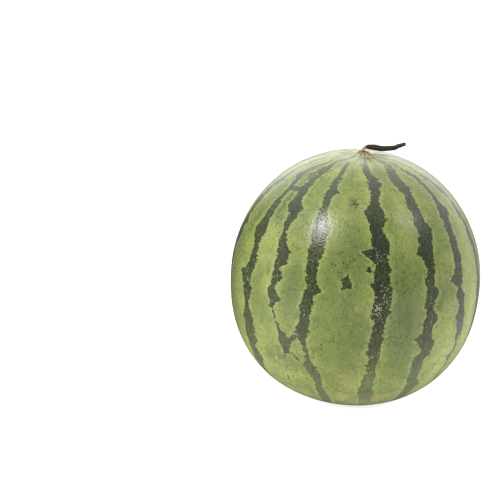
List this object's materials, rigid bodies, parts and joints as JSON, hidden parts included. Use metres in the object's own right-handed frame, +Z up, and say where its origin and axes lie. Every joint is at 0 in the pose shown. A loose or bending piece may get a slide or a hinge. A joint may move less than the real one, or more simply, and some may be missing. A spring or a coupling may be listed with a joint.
{
  "type": "watermelon",
  "caption": "Whole round watermelon with a striped rind, a corky scar at its stem end and a dried, bent stem, resting on a small flat spot.",
  "frame": {"origin": "on the ground, under the middle of the fruit's box", "axes": "+Z up, +X towards the side that the stem bends over to, and -Y towards the side that the picture shows"},
  "size_m": [0.2284, 0.228, 0.2379],
  "materials": {
    "rind": "smooth waxy rind, light green with dark green stripes",
    "dried_stem": "dry, dull and lengthwise wrinkled, dark brown with a tan foot"
  },
  "bodies": {
    "root": {"fruit": "rind", "stem": "dried_stem"}
  },
  "joints": []
}
